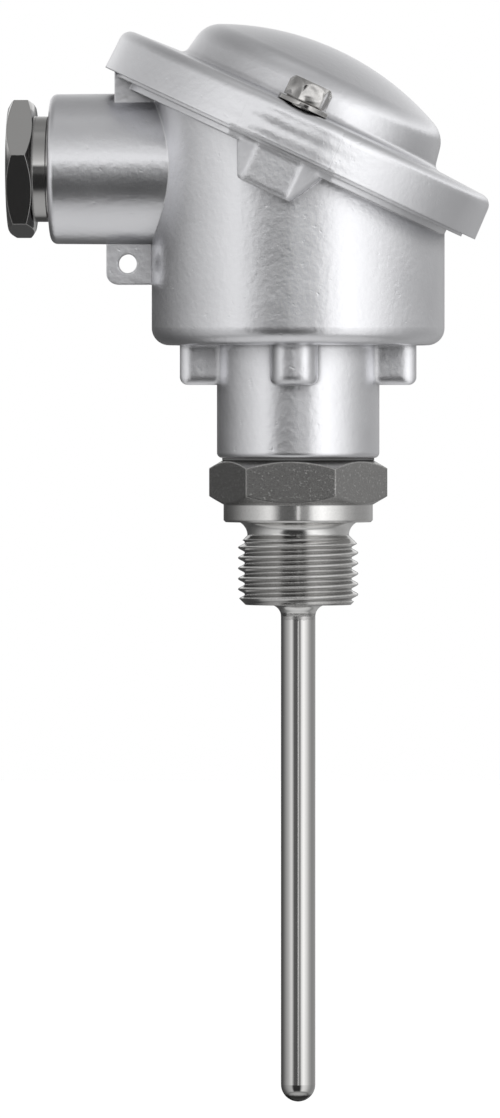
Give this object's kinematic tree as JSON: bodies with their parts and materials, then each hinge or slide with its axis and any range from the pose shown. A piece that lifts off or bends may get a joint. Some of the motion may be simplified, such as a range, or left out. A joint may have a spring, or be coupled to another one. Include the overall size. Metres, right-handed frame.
{
  "type": "resistance temperature probe with connection head",
  "caption": "Screw-in resistance temperature probe: slim closed tube, threaded hex fitting, cast head with slanted domed cover, side cable gland and sprung measuring insert.",
  "frame": {"origin": "centre of the collar's sealing face, on the stem's axis", "axes": "+Z along the stem from the tip up into the head, -X out of the cable entry, -Y towards the front cover screw"},
  "size_m": [0.0836, 0.0688, 0.1877],
  "materials": {
    "cast_aluminium": "die-cast, silver lacquer, satin",
    "stainless": "turned stainless steel, bright",
    "polished_tube": "drawn and polished stainless steel",
    "nickel_plate": "nickel plated, turned",
    "bright_screw": "bright stainless screw",
    "weld_cap": "stainless, heat-tinted weld",
    "seal_rubber": "black moulded rubber",
    "gasket_sheet": "dark grey gasket sheet",
    "ceramic": "white glazed ceramic",
    "brass": "turned brass",
    "spring_steel": "spring steel wire",
    "wire_sleeve": "red insulating sleeve"
  },
  "bodies": {
    "head": {"head_body": "cast_aluminium", "sealing_eye": "cast_aluminium", "gland_seal": "seal_rubber", "seal_seat_washer": "stainless", "neck_gasket": "gasket_sheet", "process_fitting": "stainless", "protection_tube": "polished_tube", "tube_tip": "weld_cap", "insert_screws": "bright_screw", "insert_springs": "spring_steel", "earth_screw": "bright_screw", "earth_washer": "bright_screw"},
    "cover": {"cover": "cast_aluminium", "cover_gasket": "gasket_sheet", "front_screw_washer": "bright_screw", "rear_screw_washer": "bright_screw"},
    "front_cover_screw": {"front_cover_screw": "bright_screw", "front_screw_clip": "spring_steel"},
    "rear_cover_screw": {"rear_cover_screw": "bright_screw", "rear_screw_clip": "spring_steel"},
    "gland_washer": {"gland_washer": "stainless"},
    "pressure_screw": {"pressure_screw": "nickel_plate"},
    "insert": {"insert_plate": "stainless", "insert_sheath": "stainless", "sensing_element": "ceramic", "lead_wires": "wire_sleeve", "terminal_block": "ceramic", "terminal_clamps": "brass", "terminal_screws": "brass", "block_rivets": "stainless"}
  },
  "joints": [
    {"name": "cover_lift", "type": "slide", "parent": "head", "child": "cover", "axis": [0.4226, 0, 0.9063], "range_m": [0, 0.04]},
    {"name": "front_cover_screw_turn", "type": "hinge", "parent": "cover", "child": "front_cover_screw", "pos_m": [0.0024, -0.0292, 0.07236], "axis": [0.4226, 0, 0.9063], "continuous": true},
    {"name": "rear_cover_screw_turn", "type": "hinge", "parent": "cover", "child": "rear_cover_screw", "pos_m": [0.0024, 0.0292, 0.07236], "axis": [0.4226, 0, 0.9063], "continuous": true},
    {"name": "gland_advance", "type": "slide", "parent": "head", "child": "gland_washer", "axis": [-1, 0, 0], "range_m": [0, 0.006]},
    {"name": "pressure_screw_turn", "type": "hinge", "parent": "gland_washer", "child": "pressure_screw", "pos_m": [-0.0431, 0, 0.0615], "axis": [-1, 0, 0], "range_deg": [0, 1440]},
    {"name": "insert_lift", "type": "slide", "parent": "head", "child": "insert", "axis": [0, 0, 1], "range_m": [0, 0.003], "stiffness_N_per_m": 1500, "springref_m": -0.004, "deforming": ["insert_springs"]}
  ],
  "couplings": [
    {"joint": "gland_advance", "follows": "pressure_screw_turn", "m_per_rad": 0.00023873}
  ]
}
